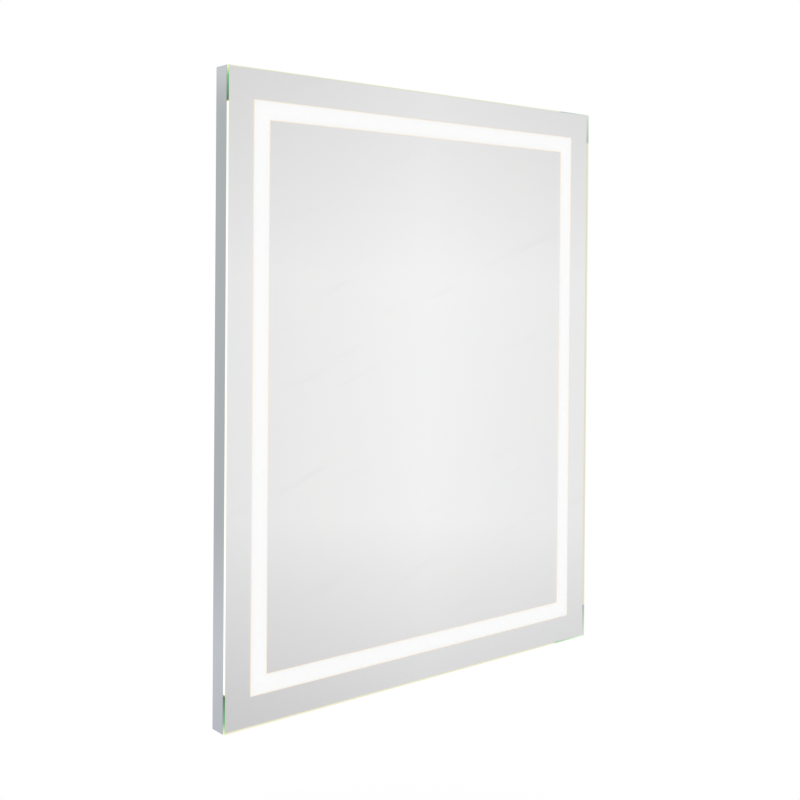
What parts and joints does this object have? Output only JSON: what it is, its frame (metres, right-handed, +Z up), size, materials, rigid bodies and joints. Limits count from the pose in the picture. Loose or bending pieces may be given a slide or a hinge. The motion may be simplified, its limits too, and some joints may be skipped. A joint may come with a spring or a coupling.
{
  "type": "lighted bathroom mirror",
  "caption": "Flat rectangular wall mirror with a lit band inset from its edge, in a slim metal frame, hung on an interlocking wall rail.",
  "frame": {"origin": "middle of the wall rail's row of screw slots, on the wall plane", "axes": "+Y into the wall, +Z up, +X along the wall, to the right as seen from the room"},
  "size_m": [0.8, 0.0361, 1],
  "materials": {
    "float_glass": "clear float glass with polished edges",
    "silvering": "silvered and painted back",
    "bonding_tape": "matt foam",
    "frame_aluminium": "satin anodised",
    "key_zinc": "die cast",
    "screw_steel": "zinc plated",
    "channel_white": "white powder coat",
    "opal_diffuser": "opal",
    "led_board": "white solder mask with LED packages",
    "link_plastic": "moulded",
    "panel_steel": "galvanised sheet",
    "driver_case": "moulded, fine texture",
    "box_steel": "grey powder coat",
    "terminal_plastic": "moulded",
    "earth_brass": "turned",
    "earth_insulation": "extruded",
    "cable_sheath": "extruded",
    "clip_nylon": "moulded nylon",
    "connector_plastic": "moulded",
    "black_rubber": "moulded",
    "cleat_aluminium": "mill finish extrusion",
    "rivet_aluminium": "plain"
  },
  "bodies": {
    "wall_fixing": {"wall_rail": "cleat_aluminium"},
    "mirror": {"mirror_glass": "float_glass", "silver_border": "silvering", "silver_centre": "silvering", "frame_tape": "bonding_tape", "channel_tape": "bonding_tape", "frame_rail_top": "frame_aluminium", "frame_rail_bottom": "frame_aluminium", "frame_rail_left": "frame_aluminium", "frame_rail_right": "frame_aluminium", "corner_key_top_left": "key_zinc", "corner_key_top_right": "key_zinc", "corner_key_bottom_left": "key_zinc", "corner_key_bottom_right": "key_zinc", "corner_grub_screws": "screw_steel", "light_channel_top": "channel_white", "light_channel_bottom": "channel_white", "light_channel_left": "channel_white", "light_channel_right": "channel_white", "diffuser_top": "opal_diffuser", "diffuser_bottom": "opal_diffuser", "diffuser_left": "opal_diffuser", "diffuser_right": "opal_diffuser", "led_strip_top": "led_board", "led_strip_bottom": "led_board", "led_strip_left": "led_board", "led_strip_right": "led_board", "strip_link_top_left": "link_plastic", "strip_link_top_right": "link_plastic", "strip_link_bottom_right": "link_plastic", "back_panel": "panel_steel", "panel_screws": "screw_steel", "led_driver": "driver_case", "driver_screws": "screw_steel", "wiring_box": "box_steel", "terminal_block": "terminal_plastic", "terminal_screws": "screw_steel", "earth_screw": "earth_brass", "earth_lead": "earth_insulation", "service_cover": "box_steel", "service_cover_screws": "screw_steel", "cable_grommet": "black_rubber", "driver_input_cable": "cable_sheath", "driver_output_cable": "cable_sheath", "cable_clips": "clip_nylon", "feed_connector": "connector_plastic", "hanger_rail": "cleat_aluminium", "hanger_rivets": "rivet_aluminium", "bumper_left": "black_rubber", "bumper_right": "black_rubber"}
  },
  "joints": [
    {"name": "lift_off", "type": "slide", "parent": "wall_fixing", "child": "mirror", "axis": [0, 0, 1], "range_m": [0, 0.012]}
  ]
}
